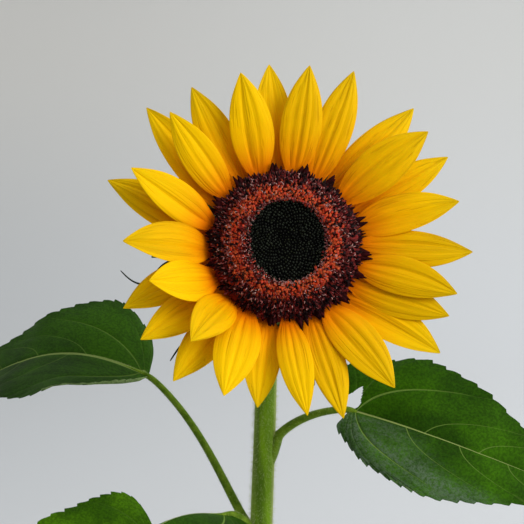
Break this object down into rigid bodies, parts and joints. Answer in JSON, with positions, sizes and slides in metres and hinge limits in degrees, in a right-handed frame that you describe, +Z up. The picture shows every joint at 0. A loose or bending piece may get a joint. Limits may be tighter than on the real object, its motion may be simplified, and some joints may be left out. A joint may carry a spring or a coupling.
{
  "type": "sunflower plant",
  "caption": "Potted dwarf sunflower: upright green stem with stalked heart-shaped leaves and a large yellow flower head with a dark red and black disk, facing forward.",
  "frame": {"origin": "centre of the pot's flat underside, on the surface that it stands on", "axes": "+Z up the stem; the flower head faces -Y, a little up and a little to +X"},
  "size_m": [0.3229, 0.313, 0.5761],
  "materials": {
    "clay": "matte",
    "potting_soil": "matte",
    "stalk": "matte",
    "leaf_blade": "satin",
    "ray_floret": "matte",
    "disk_ring": "matte",
    "disk_core": "matte",
    "green_cup": "matte",
    "bract": "matte"
  },
  "bodies": {
    "root": {"bract_collar": "bract", "disk_core": "disk_core", "disk_ring": "disk_ring", "leaf_01": "leaf_blade", "leaf_02": "leaf_blade", "leaf_03": "leaf_blade", "leaf_04": "leaf_blade", "leaf_05": "leaf_blade", "leaf_06": "leaf_blade", "leaf_07": "leaf_blade", "leaf_08": "leaf_blade", "leaf_09": "leaf_blade", "leaf_10": "leaf_blade", "leaf_11": "leaf_blade", "leaf_12": "leaf_blade", "neck": "stalk", "petiole_01": "stalk", "petiole_02": "stalk", "petiole_03": "stalk", "petiole_04": "stalk", "petiole_05": "stalk", "petiole_06": "stalk", "petiole_07": "stalk", "petiole_08": "stalk", "petiole_09": "stalk", "petiole_10": "stalk", "petiole_11": "stalk", "petiole_12": "stalk", "pot": "clay", "ray_01": "ray_floret", "ray_02": "ray_floret", "ray_03": "ray_floret", "ray_04": "ray_floret", "ray_05": "ray_floret", "ray_06": "ray_floret", "ray_07": "ray_floret", "ray_08": "ray_floret", "ray_09": "ray_floret", "ray_10": "ray_floret", "ray_11": "ray_floret", "ray_12": "ray_floret", "ray_13": "ray_floret", "ray_14": "ray_floret", "ray_15": "ray_floret", "ray_16": "ray_floret", "ray_17": "ray_floret", "ray_18": "ray_floret", "ray_19": "ray_floret", "ray_20": "ray_floret", "ray_21": "ray_floret", "ray_22": "ray_floret", "ray_23": "ray_floret", "ray_24": "ray_floret", "ray_25": "ray_floret", "ray_26": "ray_floret", "ray_27": "ray_floret", "ray_28": "ray_floret", "receptacle": "green_cup", "soil": "potting_soil", "stem": "stalk"}
  },
  "joints": []
}
